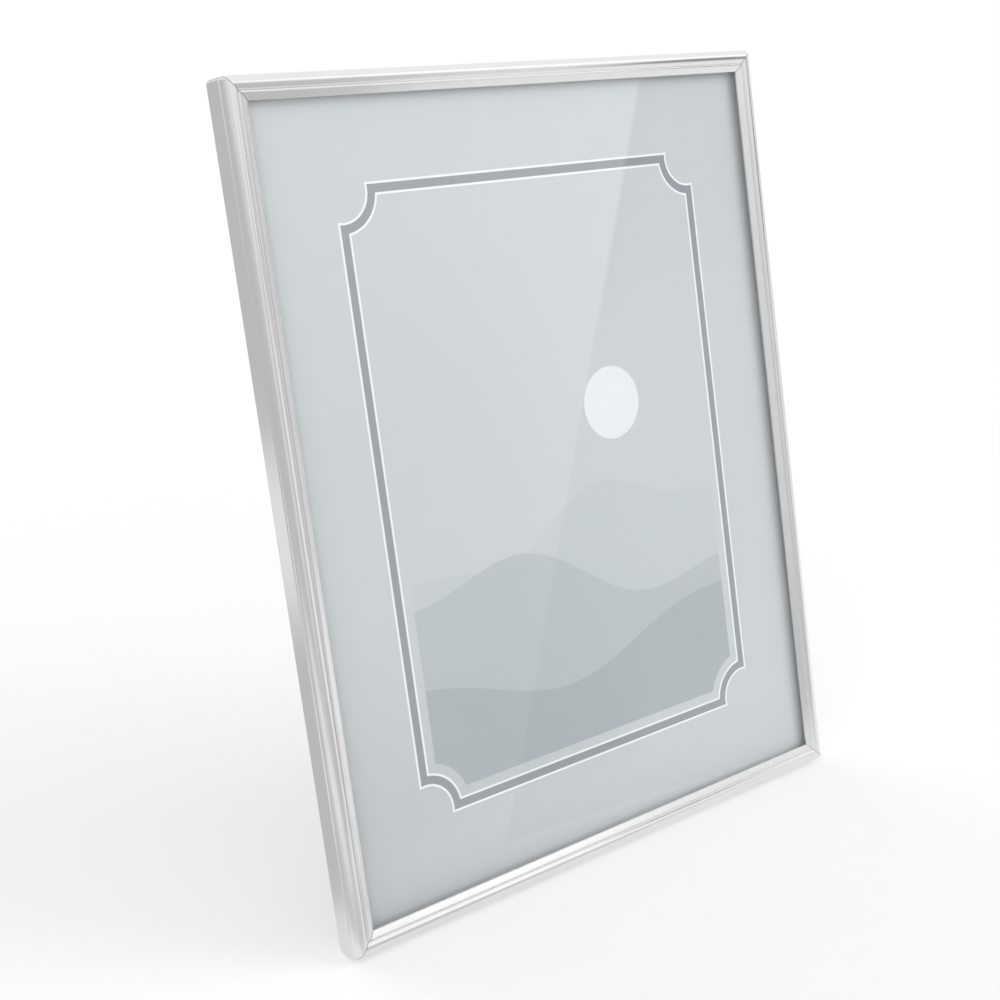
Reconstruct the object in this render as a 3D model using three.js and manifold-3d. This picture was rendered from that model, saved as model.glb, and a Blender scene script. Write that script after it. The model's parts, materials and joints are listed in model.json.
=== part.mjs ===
// Table-top picture frame: four mitred rails of roll-formed silver sheet round a glazed picture, closed by a
// back panel under turn buttons, standing on a hinged easel strut, with a ring to hang it by.
// Millimetres. The frame is drawn upright with x to the right, y to the rear and z up, y = 0 at the bead's
// crest and z = 0 at mid height, and is then leaned back onto its strut.
import * as THREE from 'three';
import { mergeVertices } from 'three/addons/utils/BufferGeometryUtils.js';
import Module from 'manifold-3d';

const wasm = await Module();
wasm.setup();

// Picture size and the sheets of the stack
const PHOTO_W = 200;
const PHOTO_H = 250;
const GLASS_T = 2;
const PRINT_T = 0.3;
const CARD_T = 1.5;
const PANEL_T = 2.5;
const PANEL_CORNER_R = 2;
const SHEET_PLAY = 0.3;
const LAY = 0.2;

// Moulding of the rails
const SHEET = 0.6;
const BEAD_R = 2.5;
const BEAD_IN = 1.7;
const QUIRK_W = 0.9;
const QUIRK_DEPTH = 0.35;
const VALLEY_W = 0.2;
const LIP_W = 3.6;
const LIP_BASE = 1.35;
const LIP_EDGE = 0.1;
const LIP_COVER = 4;
const BEND_R = 1;
const PASS_PLAY = 0.8;
const CORNER_R = 1.2;
const CORNER_RUN = 1;
const MITRE_PLAY = 0.1;

// Corner keys
const KEY_LEG = 16;
const KEY_T = 1.4;
const KEY_H = 5;
const KEY_PLAY = 0.2;
const KEY_CHAMFER = 0.6;

// Rivets
const RIVET_R = 1.2;
const RIVET_HEAD_R = 2.4;
const RIVET_HEAD_H = 0.9;
const RIVET_PLAY = 0.25;

// Turn buttons
const BUTTON_T = 0.8;
const BUTTON_REACH = 15;
const BUTTON_HEEL_R = 4;
const BUTTON_TIP_R = 2.4;
const BUTTON_SPREAD_SIDE = 75;
const BUTTON_SPREAD_END = 65;

// Easel strut and its hinge
const LEAN = THREE.MathUtils.degToRad(12);
const STRUT_OPEN = THREE.MathUtils.degToRad(16);
const STRUT_T = 2.4;
const STRUT_TOP_W = 50;
const STRUT_FOOT_W = 72;
const STRUT_HEEL_CHAMFER = 5;
const STRUT_FOOT_CHAMFER = 1.5;
const STRUT_GAP = 0.3;
const HINGE_DROP = 59;
const HINGE_W = 30;
const HINGE_SHEET = 0.75;
const HINGE_LEAF = 17;
const HINGE_RIVET_EDGE = 6;
const HINGE_RIVET_UP = 10.5;
const KNUCKLE_W = 13;
const KNUCKLE_PLAY = 0.3;
const NOTCH_PLAY = 0.5;
const PIN_PLAY = 0.15;
const PIN_OVERHANG = 0.6;
const CURL_SLIT = 0.3;

// Hanger
const HANGER_DROP = 17;
const HANGER_W = 9;
const HANGER_SHEET = 0.8;
const HANGER_LEAF = 14;
const HANGER_RIVET_DOWN = 10;
const WIRE_R = 0.8;
const RING_W = 19;
const RING_DROP = 16;
const RING_BEND_R = 2;
const RING_APEX_R = 3.2;

// Facets
const ARC_STEPS = 4;
const ROUND_SIDES = 12;
const WIRE_SIDES = 8;

// Sizes that follow from those above
const FACE_W = BEAD_R + BEAD_IN + VALLEY_W + LIP_W;
const OUTER_W = PHOTO_W + 2 * (FACE_W - LIP_COVER);
const OUTER_H = PHOTO_H + 2 * (FACE_W - LIP_COVER);
const FLANGE = FACE_W - LIP_COVER - PASS_PLAY;
const LIP_TOP = BEAD_R - Math.sqrt(BEAD_R ** 2 - BEAD_IN ** 2);
const LIP_SEAT = LIP_BASE + SHEET + LIP_EDGE;
const GLASS_Y = LIP_SEAT + LAY;
const PRINT_Y = GLASS_Y + GLASS_T + LAY;
const CARD_Y = PRINT_Y + PRINT_T + LAY;
const PANEL_Y = CARD_Y + CARD_T + LAY;
const PANEL_REAR = PANEL_Y + PANEL_T;
const BUTTON_Y = PANEL_REAR + LAY;
const DEPTH = BUTTON_Y + BUTTON_T + LAY + SHEET;
const KEY_Y = DEPTH - SHEET - KEY_PLAY - KEY_H;
const HOLE_R = RIVET_R + RIVET_PLAY;

// A folded strut lies STRUT_GAP off the panel, under a leaf as far out as the other leaf lies in
const KNUCKLE_R = (STRUT_T + HINGE_SHEET + STRUT_GAP) / 2;
const PIN_R = KNUCKLE_R - HINGE_SHEET - PIN_PLAY;
const HINGE_Y = PANEL_REAR + LAY + KNUCKLE_R;
const HINGE_Z = OUTER_H / 2 - HINGE_DROP;
const STRUT_FRONT = PANEL_REAR + STRUT_GAP - HINGE_Y;
const STRUT_RAKE = STRUT_OPEN - LEAN;
const HINGE_RIVET_PITCH = HINGE_W - 2 * HINGE_RIVET_EDGE;

const EYE_R = WIRE_R + PIN_PLAY + HANGER_SHEET;
const EYE_Y = PANEL_REAR + LAY + EYE_R;
const EYE_Z = OUTER_H / 2 - HANGER_DROP;

// Finishes
const finishes = {
  silver: { color: 0xc9ccce, roughness: 0.22, metalness: 1 },
  glass: { color: 0xe4ecee, roughness: 0.05, metalness: 0 },
  paper: { color: 0xccd2d6, roughness: 0.6, metalness: 0 },
  card: { color: 0xb3a98f, roughness: 0.9, metalness: 0 },
  board: { color: 0x2b2b2e, roughness: 0.95, metalness: 0 },
  zinc: { color: 0xa9adb0, roughness: 0.35, metalness: 1 },
};

// Named mesh with a material of its own
function piece(parent, name, geometry, finish) {
  geometry.computeVertexNormals();
  const mesh = new THREE.Mesh(geometry, new THREE.MeshStandardMaterial(finishes[finish]));
  mesh.name = name;
  parent.add(mesh);
  return mesh;
}

// Group set at a place in its parent
function groupAt(parent, x, y, z) {
  const group = new THREE.Group();
  group.position.set(x, y, z);
  parent.add(group);
  return group;
}

// Closed geometry as a solid for cutting
function solid(geometry) {
  const bare = geometry.clone();
  bare.deleteAttribute('normal');
  bare.deleteAttribute('uv');
  const merged = mergeVertices(bare, 1e-5);
  const vertProperties = new Float32Array(merged.attributes.position.array);
  const triVerts = new Uint32Array(merged.index.array);
  return new wasm.Manifold(new wasm.Mesh({ numProp: 3, vertProperties, triVerts }));
}

// Geometry less each of the tools
function cut(geometry, tools) {
  let body = solid(geometry);
  for (const tool of tools) body = body.subtract(solid(tool));
  const mesh = body.getMesh();
  const result = new THREE.BufferGeometry();
  result.setAttribute('position', new THREE.BufferAttribute(mesh.vertProperties, 3));
  result.setIndex(new THREE.BufferAttribute(mesh.triVerts, 1));
  return result.toNonIndexed();
}

// Shape drawn in x and z, made thickness deep from its front face at y
function slab(shape, y, thickness) {
  const geometry = new THREE.ExtrudeGeometry(shape, {
    depth: thickness, bevelEnabled: false, curveSegments: ROUND_SIDES / 2,
  });
  geometry.rotateX(Math.PI / 2);
  geometry.translate(0, y + thickness, 0);
  return geometry;
}

// Rectangle about the centre, with round corners where a radius is given
function rectangle(width, height, radius = 0) {
  const right = width / 2;
  const top = height / 2;
  const shape = new THREE.Shape();
  if (radius === 0) {
    shape.setFromPoints([
      new THREE.Vector2(-right, -top),
      new THREE.Vector2(right, -top),
      new THREE.Vector2(right, top),
      new THREE.Vector2(-right, top),
    ]);
    return shape;
  }
  shape.absarc(right - radius, top - radius, radius, 0, Math.PI / 2);
  shape.absarc(radius - right, top - radius, radius, Math.PI / 2, Math.PI);
  shape.absarc(radius - right, radius - top, radius, Math.PI, 1.5 * Math.PI);
  shape.absarc(right - radius, radius - top, radius, 1.5 * Math.PI, 2 * Math.PI);
  return shape;
}

// Round hole in a shape
function pierce(shape, x, z, radius) {
  const hole = new THREE.Path();
  hole.absarc(x, z, radius, 0, 2 * Math.PI);
  shape.holes.push(hole);
}

// Points of a path, each once
function pathPoints(path) {
  const points = path.getPoints(ARC_STEPS);
  return points.filter((point, i) => i === 0 || point.distanceTo(points[i - 1]) > 1e-6);
}

// Section of a folded sheet between its face line and the same line set in by its thickness
function sheetSection(line, sheet) {
  return new THREE.Shape([...pathPoints(line(0)), ...pathPoints(line(sheet)).reverse()]);
}

// Line of the rail's section from its rear flange to its lip, x inward from the outer edge and y rearward
// from the bead's crest
function mouldingLine(inset) {
  const bead = BEAD_R - inset;
  const valley = LIP_TOP + inset;
  const beadEnd = Math.asin((BEAD_R - valley) / bead);
  const drop = LIP_BASE - LIP_TOP;
  const line = new THREE.Path();
  line.moveTo(FLANGE, DEPTH - inset);
  line.lineTo(BEND_R, DEPTH - inset);
  line.absarc(BEND_R, DEPTH - BEND_R, BEND_R - inset, Math.PI / 2, Math.PI);
  line.lineTo(inset, BEAD_R + QUIRK_W);
  line.quadraticCurveTo(2 * QUIRK_DEPTH + inset, BEAD_R + QUIRK_W / 2, inset, BEAD_R);
  line.absarc(BEAD_R, BEAD_R, bead, Math.PI, 2 * Math.PI - beadEnd);
  line.lineTo(FACE_W - LIP_W, valley);
  line.absellipse(FACE_W - LIP_W, LIP_BASE + inset, LIP_W - inset, drop, 1.5 * Math.PI, 2 * Math.PI);
  line.lineTo(FACE_W - inset, LIP_SEAT);
  return line;
}

// Rail along the frame's lower edge, mitred at both ends with a softened outer corner; across is the frame's
// size square to the rail
function railGeometry(section, length, across) {
  const mitre = Math.PI / 4;
  const turns = [mitre, mitre / 2, 0];
  const stations = [...turns.map((turn) => [1, turn]), ...turns.map((turn) => [-1, turn]).reverse()];
  const half = length / 2 - MITRE_PLAY;
  const geometry = new THREE.ExtrudeGeometry(section, {
    depth: stations.length - 1, steps: stations.length - 1, bevelEnabled: false,
  });
  const position = geometry.attributes.position;
  for (let i = 0; i < position.count; i += 1) {
    const inward = position.getX(i);
    const [end, turn] = stations[Math.round(position.getZ(i))];
    const arm = CORNER_R - inward;
    const reach = arm > 0 ? arm * Math.sin(turn) - CORNER_R : -inward - CORNER_RUN * (1 - turn / mitre);
    const set = arm > 0 ? CORNER_R - arm * Math.cos(turn) : inward;
    position.setXYZ(i, end * (half + reach), position.getY(i), set - across / 2);
  }
  return geometry;
}

// Leaf with one end curled round a pin on the x axis: the leaf lies flat on the front side and runs up
function curledLeaf(radius, sheet, reach, width) {
  const tip = Math.asin((radius - sheet - CURL_SLIT) / radius);
  const line = (inset) => {
    const curl = new THREE.Path();
    curl.moveTo(reach, radius - inset);
    curl.lineTo(0, radius - inset);
    curl.absarc(0, 0, radius - inset, Math.PI / 2, 1.25 * Math.PI);
    curl.absarc(0, 0, radius - inset, 1.25 * Math.PI, 2 * Math.PI + tip);
    return curl;
  };
  const section = sheetSection(line, sheet);
  const geometry = new THREE.ExtrudeGeometry(section, { depth: width, bevelEnabled: false });
  geometry.translate(0, 0, -width / 2);
  const toX = new THREE.Vector3(1, 0, 0);
  const toFront = new THREE.Vector3(0, -1, 0);
  const toTop = new THREE.Vector3(0, 0, 1);
  return geometry.applyMatrix4(new THREE.Matrix4().makeBasis(toTop, toFront, toX));
}

// Drill for a rivet hole through thin material round the origin
function drill(x, z) {
  const depth = 4 * KNUCKLE_R;
  return new THREE.CylinderGeometry(HOLE_R, HOLE_R, depth, ROUND_SIDES).translate(x, 0, z);
}

// Block across the knuckles between two places along the hinge
function knuckleBlock(from, to) {
  const side = 2 * (KNUCKLE_R + NOTCH_PLAY);
  return new THREE.BoxGeometry(to - from, side, side).translate((from + to) / 2, 0, 0);
}

// Rivet from its tail to the seat of its domed head
function rivetGeometry(tail, seat) {
  const rise = RIVET_HEAD_H;
  const dome = (RIVET_HEAD_R ** 2 + rise ** 2) / (2 * rise);
  const spread = Math.asin(RIVET_HEAD_R / dome);
  const points = [
    new THREE.Vector2(0, tail),
    new THREE.Vector2(RIVET_R, tail),
    new THREE.Vector2(RIVET_R, seat),
  ];
  for (let step = 0; step < ARC_STEPS; step += 1) {
    const angle = spread * (1 - step / ARC_STEPS);
    points.push(new THREE.Vector2(dome * Math.sin(angle), seat + rise - dome * (1 - Math.cos(angle))));
  }
  points.push(new THREE.Vector2(0, seat + rise));
  return new THREE.LatheGeometry(points, ROUND_SIDES);
}

// L-shaped key in one corner of the channel
function keyShape(toRight, toTop) {
  const right = OUTER_W / 2 - SHEET - KEY_PLAY;
  const top = OUTER_H / 2 - SHEET - KEY_PLAY;
  const corner = [
    [right - KEY_LEG, top],
    [right - KEY_CHAMFER, top],
    [right, top - KEY_CHAMFER],
    [right, top - KEY_LEG],
    [right - KEY_T, top - KEY_LEG],
    [right - KEY_T, top - KEY_T],
    [right - KEY_LEG, top - KEY_T],
  ];
  return new THREE.Shape(corner.map(([x, z]) => new THREE.Vector2(toRight * x, toTop * z)));
}

// Turn button that points along +z from its pivot: a heel and a smaller tip joined by their tangents
function buttonShape() {
  const span = BUTTON_REACH - BUTTON_TIP_R;
  const tangent = Math.asin((BUTTON_HEEL_R - BUTTON_TIP_R) / span);
  const shape = new THREE.Shape();
  shape.absarc(0, span, BUTTON_TIP_R, tangent, Math.PI - tangent);
  shape.absarc(0, 0, BUTTON_HEEL_R, Math.PI - tangent, 2 * Math.PI + tangent);
  pierce(shape, 0, 0, HOLE_R);
  return shape;
}

// Strut outline about the hinge axis: a heel at each side of the hinge that stops the strut when it is open
function strutShape(heel, foot) {
  const top = STRUT_TOP_W / 2;
  const notch = HINGE_W / 2 + PIN_OVERHANG + NOTCH_PLAY;
  const notchFloor = -KNUCKLE_R - NOTCH_PLAY;
  const wide = STRUT_FOOT_W / 2;
  const right = [
    [notch, notchFloor],
    [notch, heel],
    [top - STRUT_HEEL_CHAMFER, heel],
    [top, heel - STRUT_HEEL_CHAMFER],
    [wide, -foot + STRUT_FOOT_CHAMFER],
    [wide - STRUT_FOOT_CHAMFER, -foot],
  ];
  const left = right.map(([x, z]) => [-x, z]).reverse();
  const shape = new THREE.Shape([...right, ...left].map(([x, z]) => new THREE.Vector2(x, z)));
  for (const side of [-1, 1]) pierce(shape, side * HINGE_RIVET_PITCH / 2, -HINGE_RIVET_UP, HOLE_R);
  return shape;
}

// Wire bent to a closed triangle that hangs from a bar on the x axis
function ringGeometry() {
  const apex = new THREE.Vector2(0, RING_APEX_R - RING_DROP);
  const corner = new THREE.Vector2(RING_W / 2 - RING_BEND_R, -RING_BEND_R);
  const slope = corner.clone().sub(apex);
  const turn = slope.angle() - Math.asin((RING_APEX_R - RING_BEND_R) / slope.length()) - Math.PI / 2;
  const path = new THREE.Path();
  path.absarc(corner.x, corner.y, RING_BEND_R, turn, Math.PI / 2);
  path.absarc(-corner.x, corner.y, RING_BEND_R, Math.PI / 2, Math.PI - turn);
  path.absarc(apex.x, apex.y, RING_APEX_R, Math.PI - turn, 2 * Math.PI + turn);
  const loop = pathPoints(path);
  const vertices = [];
  const faces = [];
  loop.forEach((point, i) => {
    const before = loop[(i + loop.length - 1) % loop.length];
    const after = loop[(i + 1) % loop.length];
    const out = new THREE.Vector2(after.y - before.y, before.x - after.x).normalize();
    for (let side = 0; side < WIRE_SIDES; side += 1) {
      const angle = 2 * Math.PI * side / WIRE_SIDES;
      const away = WIRE_R * Math.cos(angle);
      vertices.push(point.x + out.x * away, WIRE_R * Math.sin(angle), point.y + out.y * away);
      const here = i * WIRE_SIDES;
      const there = ((i + 1) % loop.length) * WIRE_SIDES;
      const next = (side + 1) % WIRE_SIDES;
      faces.push(here + side, here + next, there + next, here + side, there + next, there + side);
    }
  });
  const geometry = new THREE.BufferGeometry();
  geometry.setAttribute('position', new THREE.Float32BufferAttribute(vertices, 3));
  geometry.setIndex(faces);
  return geometry.toNonIndexed();
}

// The frame leans back as one group
const part = new THREE.Group();
const frame = new THREE.Group();
frame.rotation.x = -LEAN;
part.add(frame);

// Rails and corner keys
const section = sheetSection(mouldingLine, SHEET);
const rails = [
  ['rail_bottom', OUTER_W, OUTER_H, 0],
  ['rail_left', OUTER_H, OUTER_W, Math.PI / 2],
  ['rail_top', OUTER_W, OUTER_H, Math.PI],
  ['rail_right', OUTER_H, OUTER_W, -Math.PI / 2],
];
for (const [name, length, across, turn] of rails) {
  piece(frame, name, railGeometry(section, length, across), 'silver').rotation.y = turn;
}
for (const [row, toTop] of [['top', 1], ['bottom', -1]]) {
  for (const [side, toRight] of [['left', -1], ['right', 1]]) {
    piece(frame, `corner_key_${row}_${side}`, slab(keyShape(toRight, toTop), KEY_Y, KEY_H), 'zinc');
  }
}

// Glass, picture and card
const sheetW = PHOTO_W - 2 * SHEET_PLAY;
const sheetH = PHOTO_H - 2 * SHEET_PLAY;
piece(frame, 'glass_pane', slab(rectangle(PHOTO_W, PHOTO_H), GLASS_Y, GLASS_T), 'glass');
piece(frame, 'photo_insert', slab(rectangle(sheetW, sheetH), PRINT_Y, PRINT_T), 'paper');
piece(frame, 'filler_card', slab(rectangle(sheetW, sheetH), CARD_Y, CARD_T), 'card');

// Turn buttons, each with its tip halfway under the flange
const tipInset = (FLANGE + SHEET) / 2;
const sidePivot = OUTER_W / 2 - tipInset - BUTTON_REACH;
const endPivot = OUTER_H / 2 - tipInset - BUTTON_REACH;
const buttons = [
  ['left_upper', -sidePivot, BUTTON_SPREAD_SIDE, -Math.PI / 2],
  ['left_lower', -sidePivot, -BUTTON_SPREAD_SIDE, -Math.PI / 2],
  ['right_upper', sidePivot, BUTTON_SPREAD_SIDE, Math.PI / 2],
  ['right_lower', sidePivot, -BUTTON_SPREAD_SIDE, Math.PI / 2],
  ['top_left', -BUTTON_SPREAD_END, endPivot, 0],
  ['top_right', BUTTON_SPREAD_END, endPivot, 0],
  ['bottom_left', -BUTTON_SPREAD_END, -endPivot, Math.PI],
  ['bottom_right', BUTTON_SPREAD_END, -endPivot, Math.PI],
];
const panelShape = rectangle(sheetW, sheetH, PANEL_CORNER_R);
for (const [place, x, z, turn] of buttons) {
  const pivot = groupAt(frame, x, 0, z);
  const seat = BUTTON_Y + BUTTON_T + LAY;
  piece(pivot, `turn_button_${place}`, slab(buttonShape(), BUTTON_Y, BUTTON_T), 'zinc').rotation.y = turn;
  piece(pivot, `turn_button_rivet_${place}`, rivetGeometry(PANEL_Y + LAY, seat), 'zinc');
  pierce(panelShape, x, z, HOLE_R);
}

// Strut hinge on the panel
const hinge = groupAt(frame, 0, HINGE_Y, HINGE_Z);
const inner = KNUCKLE_W / 2 + KNUCKLE_PLAY;
const outer = HINGE_W / 2 + NOTCH_PLAY;
const hingeHoles = [-HINGE_RIVET_PITCH / 2, HINGE_RIVET_PITCH / 2];
const fixedHoles = hingeHoles.map((x) => drill(x, HINGE_RIVET_UP));
const leaf = curledLeaf(KNUCKLE_R, HINGE_SHEET, HINGE_LEAF, HINGE_W);
piece(hinge, 'hinge_leaf_fixed', cut(leaf, [knuckleBlock(-inner, inner), ...fixedHoles]), 'zinc');
const pinLength = HINGE_W + 2 * PIN_OVERHANG;
const pin = new THREE.CylinderGeometry(PIN_R, PIN_R, pinLength, ROUND_SIDES).rotateZ(Math.PI / 2);
piece(hinge, 'hinge_pin', pin, 'zinc');
for (const [side, x] of [['left', hingeHoles[0]], ['right', hingeHoles[1]]]) {
  const seat = LAY - KNUCKLE_R + HINGE_SHEET;
  const rivet = rivetGeometry(PANEL_Y + LAY - HINGE_Y, seat).translate(x, 0, HINGE_RIVET_UP);
  piece(hinge, `hinge_rivet_fixed_${side}`, rivet, 'zinc');
  pierce(panelShape, x, HINGE_Z + HINGE_RIVET_UP, HOLE_R);
}

// Strut, opened until its heel is LAY off the panel, with its foot cut level with the frame's lowest edge
const level = (y, z) => z * Math.cos(LEAN) - y * Math.sin(LEAN);
const floor = Math.min(...section.getPoints().map((point) => level(point.y, point.x - OUTER_H / 2)));
const hingeHeight = level(HINGE_Y, HINGE_Z) - floor;
const footAt = (y) => (hingeHeight + y * Math.sin(STRUT_RAKE)) / Math.cos(STRUT_RAKE);
const heelRoom = HINGE_Y - PANEL_REAR - LAY + STRUT_FRONT * Math.cos(STRUT_OPEN);
const strut = groupAt(hinge, 0, 0, 0);
strut.rotation.x = STRUT_OPEN;
const board = slab(strutShape(heelRoom / Math.sin(STRUT_OPEN), footAt(0)), STRUT_FRONT, STRUT_T);
const corners = board.attributes.position;
for (let i = 0; i < corners.count; i += 1) {
  if (corners.getZ(i) < STRUT_FOOT_CHAMFER / 2 - footAt(0)) corners.setZ(i, -footAt(corners.getY(i)));
}
piece(strut, 'easel_strut', board, 'board');
const movingCuts = [knuckleBlock(-outer, -KNUCKLE_W / 2), knuckleBlock(KNUCKLE_W / 2, outer)];
const movingLeaf = cut(leaf, [...movingCuts, ...fixedHoles]);
piece(strut, 'hinge_leaf_moving', movingLeaf, 'zinc').rotation.x = Math.PI;
for (const [side, x] of [['left', hingeHoles[0]], ['right', hingeHoles[1]]]) {
  const rivet = rivetGeometry(STRUT_FRONT + LAY, KNUCKLE_R + LAY).translate(x, 0, -HINGE_RIVET_UP);
  piece(strut, `hinge_rivet_moving_${side}`, rivet, 'zinc');
}

// Hanger: strap on the panel, with the ring hanging plumb in its curl
const hanger = groupAt(frame, 0, EYE_Y, EYE_Z);
const strap = curledLeaf(EYE_R, HANGER_SHEET, HANGER_LEAF, HANGER_W).rotateY(Math.PI);
piece(hanger, 'hanger_strap', cut(strap, [drill(0, -HANGER_RIVET_DOWN)]), 'zinc');
const hangerRivet = rivetGeometry(PANEL_Y + LAY - EYE_Y, LAY - EYE_R + HANGER_SHEET);
piece(hanger, 'hanger_rivet', hangerRivet.translate(0, 0, -HANGER_RIVET_DOWN), 'zinc');
pierce(panelShape, 0, EYE_Z - HANGER_RIVET_DOWN, HOLE_R);
piece(hanger, 'hanger_ring', ringGeometry(), 'zinc').rotation.x = LEAN;

piece(frame, 'back_panel', slab(panelShape, PANEL_Y, PANEL_T), 'board');

// The origin is on the table under the middle of the whole frame
const box = new THREE.Box3().setFromObject(part, true);
const middle = box.getCenter(new THREE.Vector3());
frame.position.set(-middle.x, -middle.y, -box.min.z);

export default part;
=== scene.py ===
"""A standing picture frame: its moulding, glass, print and fittings, dressed on the packed solids."""

import json
import math

import bmesh
import bpy
import numpy as np
from mathutils import Matrix, Vector


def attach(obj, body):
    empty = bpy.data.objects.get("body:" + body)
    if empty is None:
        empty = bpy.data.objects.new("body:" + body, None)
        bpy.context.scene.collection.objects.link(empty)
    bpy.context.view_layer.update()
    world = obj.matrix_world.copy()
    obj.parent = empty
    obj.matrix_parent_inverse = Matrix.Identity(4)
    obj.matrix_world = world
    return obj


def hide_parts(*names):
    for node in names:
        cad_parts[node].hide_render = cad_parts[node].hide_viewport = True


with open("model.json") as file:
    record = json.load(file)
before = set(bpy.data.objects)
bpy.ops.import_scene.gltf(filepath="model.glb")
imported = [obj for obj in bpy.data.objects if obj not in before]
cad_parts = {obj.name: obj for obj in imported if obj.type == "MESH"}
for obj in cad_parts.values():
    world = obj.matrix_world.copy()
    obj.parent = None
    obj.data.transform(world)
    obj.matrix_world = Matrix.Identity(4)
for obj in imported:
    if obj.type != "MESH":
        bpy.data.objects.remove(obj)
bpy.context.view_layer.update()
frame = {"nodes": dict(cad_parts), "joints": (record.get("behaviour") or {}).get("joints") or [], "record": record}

bl_info = {
    "name": "Standing Picture Frame",
    "version": (1, 0, 0),
    "blender": (4, 5, 0),
    "location": "3D View > Sidebar > Frame",
    "description": "Dresses the solids of a picture frame with its moulding, glass, print and fittings",
    "category": "Object",
}

# Where things are in the packed frame
JOINTS = {joint["name"]: joint for joint in frame["joints"]}
BODY_OF = {node: body for body, nodes in frame["record"]["behaviour"]["bodies"].items() for node in nodes}
MOUNTS = {mount["name"]: mount for mount in frame["record"]["mounts"]}
ACROSS = np.array((1.0, 0.0, 0.0))
REAR = np.array(MOUNTS["wall_face"]["axis"])
UP = np.cross(ACROSS, REAR)
LEAN = math.atan2(-REAR[2], REAR[1])
STRUT_OPEN = -math.radians(JOINTS["strut_fold"]["range_deg"][0])
PANEL_AXES = np.array((ACROSS, REAR, UP))
STRUT_AXES = np.array((
    ACROSS,
    math.cos(STRUT_OPEN) * REAR + math.sin(STRUT_OPEN) * UP,
    math.cos(STRUT_OPEN) * UP - math.sin(STRUT_OPEN) * REAR,
))
UPRIGHT_AXES = np.eye(3)
SIDES = ("bottom", "left", "top", "right")
BUTTON_PLACES = (
    "left_upper", "left_lower", "right_upper", "right_lower",
    "top_left", "top_right", "bottom_left", "bottom_right",
)
BOTH_SIDES = ("left", "right")

# Steps of the curves, and the limits by which edges are merged, kept sharp or rounded
BEND_STEPS = 10
WALL_POINTS = 6
GROOVE_STEPS = 12
BEAD_STEPS = 44
LIP_STEPS = 24
NOSE_STRIDE = 4
CORNER_STEPS = 8
EDGE_STEPS = 4
WIRE_SIDES = 20
PIN_SIDES = 28
RIVET_SIDES = 40
TIP_STEPS, HEEL_STEPS = 20, 32
RING_STEPS, APEX_STEPS = 14, 18
CREASE = math.radians(35.0)
MERGE_DISTANCE = 1e-6
FLAT_LIMIT = math.radians(0.5)
ROUNDED_FROM = math.radians(40.0)

# The print, in millimetres from its middle
MILLIMETRES = 1000.0
INK_SOFTNESS = 0.12
WINDOW_MARGIN = 3.0
SUN_ACROSS, SUN_UP, SUN_RADIUS = 24.0, 18.0, 12.0
# Painted shade: between these two distances along the diagonal, the sheet goes from its darker lower-left colour
# to its plain colour
SHADE_FADE_START, SHADE_FADE_END = -190.0, -70.0
HILL_ROWS = (  # height, swell, pace, start, nearness
    (-18.0, 9.0, 0.043, 0.6, 0.0),
    (-36.0, 11.0, 0.034, 2.9, 0.5),
    (-58.0, 9.0, 0.028, 5.1, 1.0),
)

# Light paths, by the place of their outputs on the node
RAYS = {"camera": 0, "shadow": 1, "diffuse": 2, "glossy": 3, "through": 6}

# The stage, in metres
WHITE = (1.0, 1.0, 1.0, 1.0)
TABLE_REACH = 6.0
ROOM_SIDES = 48
ROOM_RADII = (0.001, 3.0, 3.0)
ROOM_HEIGHTS = (0.0003, 0.0003, 1.7)
POOLS = (  # across, rearward, radius, strength
    (-0.42, -0.3, 0.3, 0.85),
    (-0.31, 0.32, 0.13, 0.8),
    (0.05, -0.085, 0.1, 0.95),
    (-0.1, -2.9, 0.7, 0.9),
)
SIDE_CARD = (
    ((0.005, -0.099, 0.0006), (0.170, -0.050, 0.0006)),
    ((0.156, -0.287, 0.0006), (0.327, -0.172, 0.0006)),
    ((0.278, -0.1725, 0.367), (0.307, -0.140, 0.367)),
)
SOFT_BOXES = {  # strength, lower corners, upper corners
    "front_box": (
        1.3, ((0.57, -0.987, 0.64), (1.10, -0.295, 0.64)), ((0.57, -0.987, 1.1), (1.10, -0.295, 1.1)),
    ),
    "upper_box": (
        1.05, ((0.55, -0.35, 1.3), (1.25, -0.35, 1.3)), ((0.55, 0.35, 1.3), (1.25, 0.35, 1.3)),
    ),
}
LAMP_TARGET = (0.0, 0.0, 0.12)
LAMPS = {  # place, size, power
    "key_lamp": ((1.25, -1.0, 1.0), (1.1, 1.1), 15.0),
    "fill_lamp": ((-1.3, -0.8, 1.5), (1.2, 1.2), 5.0),
    "back_lamp": ((-0.4, 1.5, 1.5), (1.4, 1.0), 10.0),
}


def place(axes, across, rear, up):
    """World points: each of the three coordinates times its own axis, added together."""
    return np.stack(np.broadcast_arrays(across, rear, up), axis=-1) @ axes


def extent(node, axes):
    """Lowest and highest coordinates of a CAD node along three axes."""
    vertices = frame["nodes"][node].data.vertices
    points = np.empty(3 * len(vertices))
    vertices.foreach_get("co", points)
    along = points.reshape(-1, 3) @ axes.T
    return along.min(axis=0), along.max(axis=0)


def arc(start, end, steps):
    """Evenly spaced angles from start to end, in radians."""
    return np.linspace(start, end, steps + 1)


def around(count):
    """Evenly spaced angles once round, in radians."""
    return 2.0 * math.pi * np.arange(count) / count


def length(name, description, default):
    """A length property in metres."""
    return bpy.props.FloatProperty(
        name=name, description=description, default=default, min=0.0, precision=5, unit="LENGTH"
    )


def share(name, description, default):
    """A property between nothing and all."""
    return bpy.props.FloatProperty(
        name=name, description=description, default=default, min=0.0, max=1.0, subtype="FACTOR"
    )


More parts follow.
